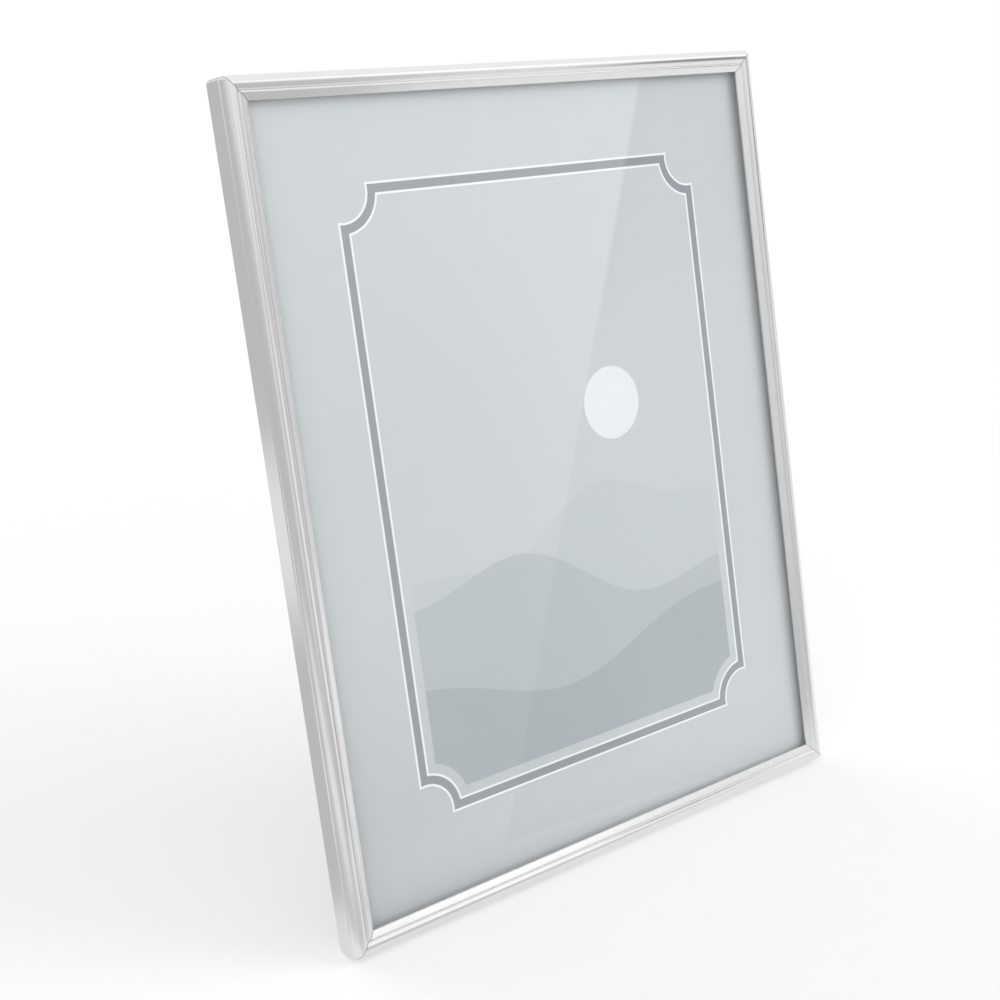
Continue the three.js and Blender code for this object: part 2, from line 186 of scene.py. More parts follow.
def colour(name, description, default):
    """A colour property, whose default is written as 0 to 255 on the screen and kept in linear light."""
    levels = np.array(default) / 255
    linear = np.where(levels <= 0.04045, levels / 12.92, ((levels + 0.055) / 1.055) ** 2.4)
    return bpy.props.FloatVectorProperty(
        name=name, description=description, default=tuple(linear), min=0.0, max=1.0, subtype="COLOR"
    )


def angle(name, description, default):
    """An angle property, whose default is written in degrees."""
    return bpy.props.FloatProperty(
        name=name, description=description, default=math.radians(default), subtype="ANGLE"
    )


class MouldingSettings(bpy.types.PropertyGroup):
    """Section of the roll-formed moulding, and its polish"""

    sheet: length("Sheet", "Thickness of the rolled metal", 0.0006)
    face: length("Face", "Width of the moulding seen from the front", 0.00715)
    flange: length("Flange", "Width of the lip turned in at the rear", 0.0032)
    bend_radius: length("Bend radius", "Radius of the rear bend", 0.001)
    bead_radius: length("Bead radius", "Radius of the round outer bead", 0.0025)
    bead_inner: length("Bead inner side", "How far the bead runs inward past its crest", 0.0017)
    quirk_width: length("Quirk width", "Width of the fine groove under the bead", 0.0009)
    quirk_depth: length("Quirk depth", "Depth of the fine groove under the bead", 0.00035)
    valley_width: length("Valley width", "Width of the valley between the bead and the lip", 0.0009)
    valley_drop: length("Valley drop", "Depth of the valley under its two sides", 0.00025)
    lip_crest: length("Lip crest", "How far the lip's crest stays behind the bead's crest", 0.00035)
    lip_base: length("Lip base", "How far the lip's inner edge stays behind the bead's crest", 0.0015)
    lip_fall: bpy.props.FloatProperty(
        name="Lip fall", description="Power by which the lip's face falls inward", default=1.1, min=1.0
    )
    lip_nose: length("Lip nose", "Radius of the lip's inner edge", 0.00015)
    lip_end: length("Lip end", "How far the lip's rear end stays behind the bead's crest", 0.00205)
    corner_radius: length("Corner radius", "Softening of the outer corners", 0.0012)
    corner_run: length("Corner run", "Length over which a corner is softened", 0.001)
    mitre_gap: length("Mitre gap", "Half of the hairline gap at a mitre", 0.0001)
    silver: colour("Silver", "Colour of the polished metal", (235.0, 234.5, 234.2))
    polish: share("Polish roughness", "Middle roughness of the polished metal", 0.2)


class PictureSettings(bpy.types.PropertyGroup):
    """Glass, and the print behind it"""

    glass: colour("Glass", "Tint of the clear pane", (252, 253, 253))
    paper: colour("Paper", "Colour of the sheet", (202, 207, 210))
    # Painted shade: the sheet's colour at its lower left, darker than the plain paper
    paper_painted_shade: colour("Paper, lower left", "Colour of the sheet at its lower left", (190, 194, 197))
    line_ink: colour("Line ink", "Colour of the border line", (150, 156, 161))
    line_edge: colour("Line edge", "Colour of the fine edges of the border line", (243, 246, 248))
    far_hill: colour("Far hills", "Colour of the hills at the back", (197, 203, 207))
    near_hill: colour("Near hills", "Colour of the hills at the front", (172, 179, 184))
    sun: colour("Sun", "Colour of the disc over the hills", (240, 243, 245))
    border_width: length("Border width", "Width of the printed border", 0.140)
    border_height: length("Border height", "Height of the printed border", 0.190)
    border_notch: length("Border notch", "Radius of the border's hollow corners", 0.011)
    line_width: length("Line width", "Width of the border's ink line", 0.0026)
    edge_width: length("Edge width", "Width of the fine edges of the ink line", 0.0007)


class BackSettings(bpy.types.PropertyGroup):
    """Board and metal fittings on the back"""

    flock: colour("Flock", "Colour of the flocked board", (58, 59, 63))
    core: colour("Core", "Colour of the board's core at the strut's cut edges", (122, 112, 98))
    core_start: length("Core start", "Depth under a face at which the core begins to show", 0.00025)
    core_full: length("Core full", "Depth under a face from which only the core shows", 0.0006)
    card: colour("Card", "Colour of the raw grey card", (172, 166, 152))
    zinc: colour("Zinc", "Colour of the zinc-plated fittings", (190, 192, 194))
    board_edge: length("Board edge", "Rounding of the strut's edges", 0.0005)
    fitting_edge: length("Fitting edge", "Rounding of the stamped edges", 0.00014)
    button_heel: length("Button heel", "Radius of a turn button about its rivet", 0.004)
    button_tip: length("Button tip", "Radius of a turn button's tip", 0.0024)
    hole_radius: length("Hole radius", "Radius of a turn button's hole", 0.00145)
    rivet_head: length("Rivet head height", "Height of a domed rivet head", 0.0009)
    rivet_shank: length("Rivet shank", "Radius of a rivet's shank", 0.0012)
    ring_bend: length("Ring bend", "Radius of the ring's two upper bends", 0.002)
    ring_apex: length("Ring apex", "Radius of the ring's lower bend", 0.0032)


class StageSettings(bpy.types.PropertyGroup):
    """Camera, lamps and floor"""

    azimuth: angle("Azimuth", "Turn of the camera about the frame", -38.737)
    elevation: angle("Elevation", "Height of the camera over the table", 18.425)
    distance: length("Distance", "From the camera to the point it aims at", 0.52517)
    aim: bpy.props.FloatVectorProperty(
        name="Aim", description="Point that the camera aims at", default=(-0.01757, 0.0077, 0.11787),
        subtype="TRANSLATION", unit="LENGTH",
    )
    lens: bpy.props.FloatProperty(
        name="Lens", description="Focal length on a 36 mm sensor, in millimetres", default=58.337, min=1.0
    )
    ambient: share("Ambient", "Light from all round", 0.66)
    floor: colour("Floor", "Colour of the table", (250, 250, 250))
    room_card: colour("Room card", "Colour of the surroundings in reflections", (204, 204, 205))
    side_card: colour("Side card", "Colour of the card beside the glass in reflections", (88, 89, 91))


class Tone:
    """One output of a node, on which sums are written as Python expressions."""

    def __init__(self, finish, socket):
        self.finish = finish
        self.socket = socket

    def sum(self, operation, *values):
        """A Math node on these values."""
        return self.finish.node("ShaderNodeMath", {"operation": operation}, dict(enumerate(values)))[0]

    def __add__(self, other):
        return self.sum("ADD", self, other)

    def __radd__(self, other):
        return self.sum("ADD", other, self)

    def __sub__(self, other):
        return self.sum("SUBTRACT", self, other)

    def __rsub__(self, other):
        return self.sum("SUBTRACT", other, self)

    def __mul__(self, other):
        return self.sum("MULTIPLY", self, other)

    def __rmul__(self, other):
        return self.sum("MULTIPLY", other, self)

    def __truediv__(self, other):
        return self.sum("DIVIDE", self, other)

    def __rtruediv__(self, other):
        return self.sum("DIVIDE", other, self)

    def __pow__(self, other):
        return self.sum("POWER", self, other)

    def __abs__(self):
        return self.sum("ABSOLUTE", self)

    def most(self, other):
        """The larger of two values."""
        return self.sum("MAXIMUM", self, other)

    def wave(self):
        """The sine of the value."""
        return self.sum("SINE", self)

    def step(self, low, high):
        """Rises smoothly from 0 at low to 1 at high."""
        settings = {"interpolation_type": "SMOOTHSTEP"}
        return self.finish.node("ShaderNodeMapRange", settings, {0: self, 1: low, 2: high, 3: 0.0, 4: 1.0})[0]


class Finish:
    """A node tree, to which one method adds any node."""

    def __init__(self, tree):
        self.tree = tree
        tree.nodes.clear()

    @classmethod
    def material(cls, name):
        """A new material with an empty tree."""
        made = bpy.data.materials.new(name)
        made.use_nodes = True
        finish = cls(made.node_tree)
        finish.made = made
        return finish

    def node(self, kind, settings=None, inputs=None):
        """Adds a node of this type, sets its settings and then its sockets, and gives its outputs."""
        made = self.tree.nodes.new(kind)
        for key, value in (settings or {}).items():
            setattr(made, key, value)
        for key, value in (inputs or {}).items():
            if isinstance(value, Tone):
                self.tree.links.new(value.socket, made.inputs[key])
            else:
                made.inputs[key].default_value = value
        return [Tone(self, socket) for socket in made.outputs]

    def mix(self, factor, low, high):
        """A colour between two, by a Mix node."""
        colours = [value if isinstance(value, Tone) else (*value, 1.0) for value in (low, high)]
        settings = {"data_type": "RGBA", "blend_type": "MIX"}
        return self.node("ShaderNodeMix", settings, {0: factor, 6: colours[0], 7: colours[1]})[2]

    def noise(self, position, scale, detail=2.0, roughness=0.5, distortion=0.0):
        """Noise from 0 to 1 at this many swells to the metre."""
        inputs = {
            "Vector": position, "Scale": scale, "Detail": detail,
            "Roughness": roughness, "Distortion": distortion,
        }
        return self.node("ShaderNodeTexNoise", {"normalize": True}, inputs)[0]

    def position(self, turn=(0.0, 0.0, 0.0), scale=(1.0, 1.0, 1.0), shift=(0.0, 0.0, 0.0)):
        """Object coordinates, scaled, turned and shifted."""
        at = self.node("ShaderNodeTexCoord")[3]
        inputs = {"Vector": at, "Location": shift, "Rotation": turn, "Scale": scale}
        return self.node("ShaderNodeMapping", {"vector_type": "POINT"}, inputs)[0]

    def bump(self, height, strength, distance):
        """A normal that follows a height."""
        inputs = {"Strength": strength, "Distance": distance, "Height": height}
        return self.node("ShaderNodeBump", None, inputs)[0]

    def rays(self, first, *others):
        """1 on light paths of any of these kinds, and 0 on the rest."""
        outputs = self.node("ShaderNodeLightPath")
        tone = outputs[RAYS[first]]
        for kind in others:
            tone = tone.most(outputs[RAYS[kind]])
        return tone

    def seen(self):
        """1 on paths that show a thing directly or in a reflection, and 0 on those that only light it."""
        return self.rays("camera", "glossy", "through")

    def blend(self, factor, first, second):
        """A shader between two, by a Mix Shader node."""
        return self.node("ShaderNodeMixShader", None, {0: factor, 1: first, 2: second})[0]

    def parts(self, vector):
        """The three coordinates of a vector."""
        return self.node("ShaderNodeSeparateXYZ", None, {0: vector})

    def surface(self, shader):
        """Joins a shader to the output, and gives the material."""
        self.node("ShaderNodeOutputMaterial", None, {"Surface": shader})
        return self.made

    def solid(self, inputs):
        """A Principled surface with these sockets, as the finished material."""
        return self.surface(self.node("ShaderNodeBsdfPrincipled", None, inputs)[0])


def silver_finish(moulding):
    """Polished silver plate: a slow ripple of the rolled sheet, faint haze, and a few wiping marks."""
    finish = Finish.material("polished_silver")
    at = finish.position()
    ripple = finish.noise(at, 40.0, 1.0)
    haze = finish.noise(at, 90.0, 3.0)
    wiping = finish.noise(finish.position(turn=(0.6, 0.4, 0.9), scale=(1.0, 14.0, 14.0)), 160.0, 2.0)
    silver = np.array(moulding.silver)
    tone = finish.mix(haze.step(0.35, 0.75), tuple(silver), tuple(silver * (0.978, 0.978, 0.98)))
    rough = moulding.polish - 0.02 + 0.04 * haze + 0.03 * wiping.step(0.6, 0.8)
    normal = finish.bump(ripple, 0.2, 0.0004)
    return finish.solid({"Base Color": tone, "Metallic": 1.0, "Roughness": rough, "Normal": normal})


def glass_finish(picture):
    """Clear float glass with a few faint smears; lamps and bounced light pass straight through it."""
    finish = Finish.material("float_glass")
    smear = finish.noise(finish.position(scale=(1.0, 1.0, 0.35)), 24.0, 3.0, 0.6, 0.8)
    clear = finish.node("ShaderNodeBsdfPrincipled", None, {
        "Base Color": (*picture.glass, 1.0), "Roughness": 0.02 * smear.step(0.6, 0.85), "IOR": 1.5,
        "Transmission Weight": 1.0,
    })[0]
    gap = finish.node("ShaderNodeBsdfTransparent")[0]
    return finish.surface(finish.blend(finish.rays("shadow", "diffuse"), clear, gap))


def print_finish(picture):
    """Satin print: a sheet darkened towards its lower left as painted shade, with a hollow-cornered border line,
    three rows of hills and a sun disc.
    Every shape is a distance in millimetres, which a smooth step turns into a printed edge."""
    finish = Finish.material("satin_print")
    low, high = extent("photo_insert", PANEL_AXES)
    middle = 0.5 * MILLIMETRES * (low + high)
    at = finish.position(turn=(LEAN, 0.0, 0.0), scale=(MILLIMETRES,) * 3, shift=tuple(-middle))
    across, up = finish.parts(at)[::2]
    half_width = 0.5 * MILLIMETRES * picture.border_width
    half_height = 0.5 * MILLIMETRES * picture.border_height
    notch = MILLIMETRES * picture.border_notch
    line, edge = 0.5 * MILLIMETRES * picture.line_width, MILLIMETRES * picture.edge_width

    def inked(distance):
        """1 inside a shape and 0 outside it."""
        return 1.0 - distance.step(-INK_SOFTNESS, INK_SOFTNESS)

    to_side = abs(across) - half_width
    to_end = abs(up) - half_height
    corner = notch - (to_side * to_side + to_end * to_end) ** 0.5
    border = to_side.most(to_end).most(corner)
    # Painted shade: the sheet is darker towards its lower left
    out_of_painted_shade = (0.7 * across + up).step(SHADE_FADE_START, SHADE_FADE_END)
    tone = finish.mix(out_of_painted_shade, tuple(picture.paper_painted_shade), tuple(picture.paper))
    window = inked(border + line + edge + WINDOW_MARGIN)
    sun = ((across - SUN_ACROSS) ** 2.0 + (up - SUN_UP) ** 2.0) ** 0.5 - SUN_RADIUS
    tone = finish.mix(window * inked(sun) * 0.85, tone, tuple(picture.sun))
    for height, swell, pace, start, near in HILL_ROWS:
        slow = swell * (pace * across + start).wave()
        crest = height + slow + 0.35 * swell * (2.3 * pace * across + start).wave()
        ink = (1.0 - near) * np.array(picture.far_hill) + near * np.array(picture.near_hill)
        tone = finish.mix(window * inked(up - crest), tone, tuple(ink))
    away = abs(border)
    tone = finish.mix(inked(away - line - edge), tone, tuple(picture.line_edge))
    tone = finish.mix(inked(away - line), tone, tuple(picture.line_ink))
    fibre = finish.noise(finish.position(), 2600.0, 3.0)
    tone = finish.mix(0.05 * fibre, tone, (0.35, 0.37, 0.38))
    normal = finish.bump(fibre, 0.05, 0.0001)
    return finish.solid({
        "Base Color": tone, "Roughness": 0.5 + 0.16 * fibre, "Specular IOR Level": 0.3, "Normal": normal,
    })


def pulp_card_finish(back):
    """Raw grey card: short fibres and darker flecks of pulp."""
    finish = Finish.material("pulp_card")
    at = finish.position()
    fibre = finish.noise(finish.position(scale=(1.0, 3.0, 3.0)), 900.0, 4.0, 0.65)
    fleck = finish.noise(at, 1500.0, 2.0).step(0.66, 0.74)
    card = np.array(back.card)
    tone = finish.mix(fibre.step(0.3, 0.7), tuple(0.82 * card), tuple(card))
    tone = finish.mix(0.5 * fleck, tone, tuple(0.45 * card))
    normal = finish.bump(fibre, 0.3, 0.0002)
    return finish.solid({"Base Color": tone, "Roughness": 0.85 + 0.1 * fibre, "Normal": normal})


def flock_sockets(finish, back):
    """Sockets of a flocked face: dense fibres, brushed streaks, lighter patches of nap and a soft sheen."""
    at = finish.position()
    nap = finish.noise(at, 38.0, 3.0, 0.55, 0.6)
    brushed = finish.noise(finish.position(scale=(1.0, 1.0, 0.22)), 210.0, 3.0, 0.6)
    fibre = finish.noise(at, 2200.0, 3.0, 0.7)
    tuft = finish.noise(at, 700.0, 2.0)
    flock = np.array(back.flock)
    tone = finish.mix(nap.step(0.35, 0.7), tuple(0.8 * flock), tuple(1.2 * flock))
    tone = finish.mix(0.55 * brushed.step(0.42, 0.7), tone, tuple(1.5 * flock))
    tone = finish.mix(0.6 * fibre.step(0.35, 0.75), tone, tuple(1.7 * flock))
    return {
        "Base Color": tone, "Roughness": 0.84 + 0.14 * fibre, "Specular IOR Level": 0.2,
        "Sheen Weight": 0.25, "Sheen Roughness": 0.4,
        "Normal": finish.bump(fibre + 0.6 * tuft + 0.5 * brushed, 0.55, 0.0004),
    }


def flock_finish(back):
    """Flocked board of the back panel."""
    finish = Finish.material("flocked_board")
    return finish.solid(flock_sockets(finish, back))


def strut_finish(back):
    """Flocked board of the strut, whose cut edges show the layers of its pale core between the two faces."""
    finish = Finish.material("flocked_strut_board")
    sockets = flock_sockets(finish, back)
    low, high = extent("easel_strut", STRUT_AXES)
    rear = finish.parts(finish.position(turn=(LEAN - STRUT_OPEN, 0.0, 0.0)))[1]
    from_face = 0.5 * (high[1] - low[1]) - abs(rear - 0.5 * (low[1] + high[1]))
    core = np.array(back.core)
    layer = finish.noise(finish.position(scale=(0.15, 1.0, 0.15)), 3600.0, 3.0)
    cut = finish.mix(layer.step(0.35, 0.65), tuple(0.7 * core), tuple(core))
    in_core = from_face.step(back.core_start, back.core_full)
    sockets["Base Color"] = finish.mix(in_core, sockets["Base Color"], cut)
    return finish.solid(sockets)


def zinc_finish(back):
    """Bright zinc plate: fine spangle, drawing lines, and duller handling marks."""
    finish = Finish.material("zinc_plate")
    at = finish.position()
    spangle = finish.noise(at, 1100.0, 3.0, 0.6)
    mark = finish.noise(at, 160.0, 3.0, 0.6, 0.4)
    drawn = finish.noise(finish.position(scale=(1.0, 12.0, 12.0)), 650.0, 2.0)
    zinc = np.array(back.zinc)
    tone = finish.mix(mark.step(0.4, 0.75), tuple(zinc), tuple(zinc * (0.84, 0.83, 0.79)))
    tone = finish.mix(0.35 * spangle.step(0.45, 0.7), tone, tuple(0.7 * zinc))
    rough = 0.24 + 0.16 * mark + 0.1 * spangle
    normal = finish.bump(0.5 * spangle + drawn, 0.12, 0.0003)
    return finish.solid({"Base Color": tone, "Metallic": 1.0, "Roughness": rough, "Normal": normal})


def finished(name, make, settings):
    """The finish of this name, made when it is first asked for."""
    return bpy.data.materials.get(name) or make(settings)


def piece_from_grid(name, grid, around_rows=False, around_columns=False, ends=False):
    """Joins a grid of points into four-sided faces. Rows or columns may close on themselves, and the first
    and last row may each be closed by one face. A shape with a negative volume is turned right way out."""
    rows, columns = grid.shape[:2]
    index = np.arange(rows * columns).reshape(rows, columns)
    rims = [index[0, ::-1].tolist(), index[-1].tolist()] if ends else []
    if around_rows:
        index = np.vstack((index, index[:1]))
    if around_columns:
        index = np.hstack((index, index[:, :1]))
    faces = np.stack((index[:-1, :-1], index[:-1, 1:], index[1:, 1:], index[1:, :-1]), axis=-1).reshape(-1, 4)
    mesh = bpy.data.meshes.new(name)
    mesh.from_pydata(grid.reshape(-1, 3).tolist(), [], faces.tolist() + rims)
    shape = bmesh.new()
    shape.from_mesh(mesh)
    if shape.calc_volume(signed=True) < 0:
        bmesh.ops.reverse_faces(shape, faces=shape.faces)
    shape.to_mesh(mesh)
    shape.free()
    mesh.shade_smooth()
    mesh.set_sharp_from_angle(angle=CREASE)
    return linked(name, mesh)


def linked(name, mesh):
    """An object at the origin that shows a mesh."""
    piece = bpy.data.objects.new(name, mesh)
    bpy.context.scene.collection.objects.link(piece)
    return piece


def flat_faced(piece):
    """Lets the largest face round each point set its shading, so that flats look flat up to their edges."""
    shading = piece.modifiers.new("flat_faces", "WEIGHTED_NORMAL")
    shading.mode = "FACE_AREA"
    shading.weight = 100
    shading.keep_sharp = True
    return piece


def softened_copy(name, node, edge):
    """A merged copy of a CAD node, with its flat faces made whole and its edges rounded by a modifier."""
    mesh = frame["nodes"][node].data.copy()
    mesh.name = name
    mesh.materials.clear()
    shape = bmesh.new()
    shape.from_mesh(mesh)
    bmesh.ops.remove_doubles(shape, verts=shape.verts, dist=MERGE_DISTANCE)
    bmesh.ops.dissolve_limit(shape, angle_limit=FLAT_LIMIT, verts=shape.verts, edges=shape.edges)
    shape.to_mesh(mesh)
    shape.free()
    mesh.shade_smooth()
    piece = linked(name, mesh)
    bevel = piece.modifiers.new("rounded_edges", "BEVEL")
    bevel.width = edge
    bevel.segments = 3
    bevel.limit_method = "ANGLE"
    bevel.angle_limit = ROUNDED_FROM
    return flat_faced(piece)


def fit(piece, node, finish):
    """Puts a finished piece in the place of its CAD node, on the same body."""
    piece.data.materials.append(finish)
    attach(piece, BODY_OF[node])
    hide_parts(node)


def dress(node, finish):
    """Gives a CAD node a better finish."""
    frame["nodes"][node].material_slots[0].material = finish


def moulding_line(moulding, depth, inset):
    """One face of the moulding's sheet, from the rear flange to the glass, as (inward, rearward) points:
    flange, quarter-round bend, flat wall, parabolic groove, round bead, and then the lip's line. Inset is the
    distance into the sheet, and hold keeps each flat flat up to the next curve."""
    bead, bend = moulding.bead_radius, moulding.bend_radius
    valley = bead - math.sqrt(bead ** 2 - moulding.bead_inner ** 2)
    groove = bead + moulding.quirk_width
    hold = 0.00006
    turn = arc(0.5 * math.pi, math.pi, BEND_STEPS)
    across_groove = arc(0.0, 1.0, GROOVE_STEPS)
    inner_end = 2.0 * math.pi - math.asin((bead - valley - inset) / (bead - inset))
    crown = arc(math.pi, inner_end, BEAD_STEPS)[1:]
    wall = np.linspace(depth - bend - hold, groove + hold, WALL_POINTS)
    return np.concatenate((
        [(moulding.flange, depth - inset), (bend + hold, depth - inset)],
        np.column_stack((bend + (bend - inset) * np.cos(turn), depth - bend + (bend - inset) * np.sin(turn))),
        np.column_stack((np.full(wall.shape, inset), wall)),
        np.column_stack((
            inset + 4.0 * moulding.quirk_depth * across_groove * (1.0 - across_groove),
            groove - moulding.quirk_width * across_groove,
        )),
        np.column_stack((bead + (bead - inset) * np.cos(crown), bead + (bead - inset) * np.sin(crown))),
        lip_line(moulding, valley, inset),
    ))


def lip_line(moulding, valley, inset):
    """The lip, from the bead's inner side to the glass. In front: a parabolic valley, a face that falls as a
    power of the way across, a quarter-round nose and a straight edge. In the sheet: a quarter ellipse."""
    start = moulding.bead_radius + moulding.bead_inner
    quarter = arc(1.5 * math.pi, 2.0 * math.pi, LIP_STEPS)
    if inset > 0.0:
        return np.column_stack((
            start + (moulding.face - start - inset) * np.cos(quarter),
            moulding.lip_end + (moulding.lip_end - valley - inset) * np.sin(quarter),
        ))
    across = arc(0.0, 1.0, GROOVE_STEPS)[1:]
    crest = start + moulding.valley_width
    nose, turn = moulding.lip_nose, quarter[NOSE_STRIDE::NOSE_STRIDE]
    nose_start = moulding.face - nose
    rise = valley + (moulding.lip_crest - valley) * across
    dip = 4.0 * moulding.valley_drop * across * (1.0 - across)
    fall = moulding.lip_base - nose - moulding.lip_crest
    return np.concatenate((
        np.column_stack((start + moulding.valley_width * across, rise + dip)),
        np.column_stack((
            crest + (nose_start - crest) * across,
            moulding.lip_crest + fall * across ** moulding.lip_fall,
        )),
        np.column_stack((nose_start + nose * np.cos(turn), moulding.lip_base + nose * np.sin(turn))),
        [(moulding.face, moulding.lip_end)],
    ))


def rail_grid(moulding, section, run):
    """A closed section carried along one rail: at each end it turns through half a right angle to the mitre,
    the outer corner on a small arc and the rest straight. Gives (along, inward, rearward)."""
    mitre = 0.25 * math.pi
    turns = arc(mitre, 0.0, CORNER_STEPS)
    turn = np.concatenate((turns, turns[::-1]))[:, None]
    end = np.repeat((1.0, -1.0), len(turns))[:, None]
    inward = section[None, :, 0]
    arm = moulding.corner_radius - inward
    soft = arm > 0.0
    straight = -inward - moulding.corner_run * (1.0 - turn / mitre)
    reach = np.where(soft, arm * np.sin(turn) - moulding.corner_radius, straight)
    along = end * (0.5 * run - moulding.mitre_gap + reach)
    from_edge = np.where(soft, moulding.corner_radius - arm * np.cos(turn), inward)
    rear = np.broadcast_to(section[None, :, 1], along.shape)
    return along, from_edge, rear


class FRAME_OT_moulding(bpy.types.Operator):
    """Makes the four mitred rails of polished moulding"""

    bl_idname = "picture_frame.moulding"
    bl_label = "Moulding"

    def execute(self, context):
        moulding = context.scene.frame_moulding
        finish = finished("polished_silver", silver_finish, moulding)
        boxes = {side: extent(f"rail_{side}", PANEL_AXES) for side in SIDES}
        crest, rear = boxes["left"][0][1], boxes["left"][1][1]
        left, right = boxes["left"][0][0], boxes["right"][1][0]
        bottom, top = boxes["bottom"][0][2], boxes["top"][1][2]
        middle_x, middle_up = 0.5 * (left + right), 0.5 * (bottom + top)
        outer = moulding_line(moulding, rear - crest, 0.0)
        inner = moulding_line(moulding, rear - crest, moulding.sheet)
        section = np.concatenate((outer, inner[::-1]))
        for side in SIDES:
            level = side in ("bottom", "top")
            run = right - left if level else top - bottom
            along, inward, depth = rail_grid(moulding, section, run)
            if level:
                x, up = middle_x + along, bottom + inward if side == "bottom" else top - inward
            else:
                x, up = left + inward if side == "left" else right - inward, middle_up + along
            grid = place(PANEL_AXES, x, crest + depth, up)
            rail = piece_from_grid(f"moulding_{side}", grid, around_columns=True, ends=True)
            fit(rail, f"rail_{side}", finish)
        return {"FINISHED"}


class FRAME_OT_picture(bpy.types.Operator):
    """Finishes the glass, the print and the card behind it"""

    bl_idname = "picture_frame.picture"
    bl_label = "Glass and print"

    def execute(self, context):
        picture = context.scene.frame_picture
        back = context.scene.frame_back
        dress("glass_pane", finished("float_glass", glass_finish, picture))
        dress("photo_insert", finished("satin_print", print_finish, picture))
        dress("filler_card", finished("pulp_card", pulp_card_finish, back))
        return {"FINISHED"}


class FRAME_OT_boards(bpy.types.Operator):
    """Finishes the flocked back panel and makes the strut with rounded edges"""

    bl_idname = "picture_frame.boards"
    bl_label = "Back panel and strut"

    def execute(self, context):
        back = context.scene.frame_back
        dress("back_panel", finished("flocked_board", flock_finish, back))
        strut = softened_copy("flocked_strut", "easel_strut", back.board_edge)
        fit(strut, "easel_strut", finished("flocked_strut_board", strut_finish, back))
        return {"FINISHED"}


def button_outline(heel, tip, tip_reach):
    """Outline of a turn button about its rivet, pointing along the second axis: an arc round the rivet, an
    arc round the tip and their two common tangents. Gives points and outward directions."""
    span = tip_reach - tip
    tangent = math.asin((heel - tip) / span)
    at_tip = arc(tangent, math.pi - tangent, TIP_STEPS)
    at_heel = arc(math.pi - tangent, 2.0 * math.pi + tangent, HEEL_STEPS)
    turn = np.concatenate((at_tip, at_heel))
    out = np.column_stack((np.cos(turn), np.sin(turn)))
    radius = np.where(np.arange(len(turn)) < len(at_tip), tip, heel)[:, None]
    centre = np.where(np.arange(len(turn)) < len(at_tip), span, 0.0)
    return radius * out + np.column_stack((np.zeros(len(turn)), centre)), out


def stamped_grid(outline, out, hole_radius, thickness, edge):
    """A flat plate with a round hole: rings of points go over the outer edge, under the plate and back up
    through the hole, each edge on a quarter circle. Gives (first, second, height)."""
    turn = arc(0.0, 0.5 * math.pi, EDGE_STEPS)
    inset, drop = edge * (1.0 - np.sin(turn)), edge * (1.0 - np.cos(turn))
    insets = np.concatenate((inset, inset[::-1]))[:, None, None]
    heights = np.concatenate((thickness - drop, drop[::-1]))
    swing = math.atan2(outline[0, 1], outline[0, 0]) + around(len(outline))
    ring = np.column_stack((np.cos(swing), np.sin(swing)))
    outer = outline[None] - insets * out[None]
    inner = (hole_radius + insets[::-1]) * ring[None]
    plan = np.concatenate((outer, inner))
    height = np.concatenate((heights, heights[::-1]))[:, None]
    return plan[..., 0], plan[..., 1], np.broadcast_to(height, plan.shape[:2])


class FRAME_OT_buttons(bpy.types.Operator):
    """Makes the eight stamped turn buttons"""

    bl_idname = "picture_frame.buttons"
    bl_label = "Turn buttons"

    def execute(self, context):
        back = context.scene.frame_back
        zinc = finished("zinc_plate", zinc_finish, back)
        for where in BUTTON_PLACES:
            node = f"turn_button_{where}"
            low, high = extent(node, PANEL_AXES)
            pivot = PANEL_AXES @ np.array(JOINTS[f"turn_{where}"]["pos_m"])
            away = 0.5 * (low + high) - pivot
            toward = np.array((away[0], away[2])) / math.hypot(away[0], away[2])
            tip_reach = 0.5 * max(high[0] - low[0], high[2] - low[2]) + math.hypot(away[0], away[2])
            outline, out = button_outline(back.button_heel, back.button_tip, tip_reach)
            thickness = high[1] - low[1]
            side, ahead, height = stamped_grid(outline, out, back.hole_radius, thickness, back.fitting_edge)
            x = pivot[0] + toward[0] * ahead + toward[1] * side
            up = pivot[2] + toward[1] * ahead - toward[0] * side
            grid = place(PANEL_AXES, x, low[1] + height, up)
            plate = piece_from_grid(f"button_plate_{where}", grid, around_rows=True, around_columns=True)
            fit(flat_faced(plate), node, zinc)
        return {"FINISHED"}


def turned_grid(axes, foot, radius, along, sides):
    """A profile of radii and heights turned about the second axis through a foot point."""
    turn = around(sides)
    across = foot[0] + radius[:, None] * np.cos(turn)
    up = foot[2] + radius[:, None] * np.sin(turn)
    return place(axes, across, foot[1] + along[:, None], up)


def rivet_profile(back, head_radius, span):
    """Radii and heights of a domed rivet: plain shank, flat seat, rounded rim and a shallow ball-shaped head,
    which ends in a small flat."""
    flat_angle = 0.02
    seat = span - back.rivet_head
    rim = 0.25 * back.rivet_head
    rise = back.rivet_head - rim
    ball = (head_radius ** 2 + rise ** 2) / (2.0 * rise)
    spread = arc(math.asin(head_radius / ball), flat_angle, BEND_STEPS)
    under = arc(-0.5 * math.pi, 0.0, EDGE_STEPS)
    radius = np.concatenate((
        (back.rivet_shank, back.rivet_shank, back.rivet_shank),
        head_radius - rim + rim * np.cos(under), ball * np.sin(spread)[1:],
    ))
    along = np.concatenate((
        (0.0, 0.5 * seat, seat), seat + rim + rim * np.sin(under), span - ball * (1.0 - np.cos(spread))[1:],
    ))
    return radius, along


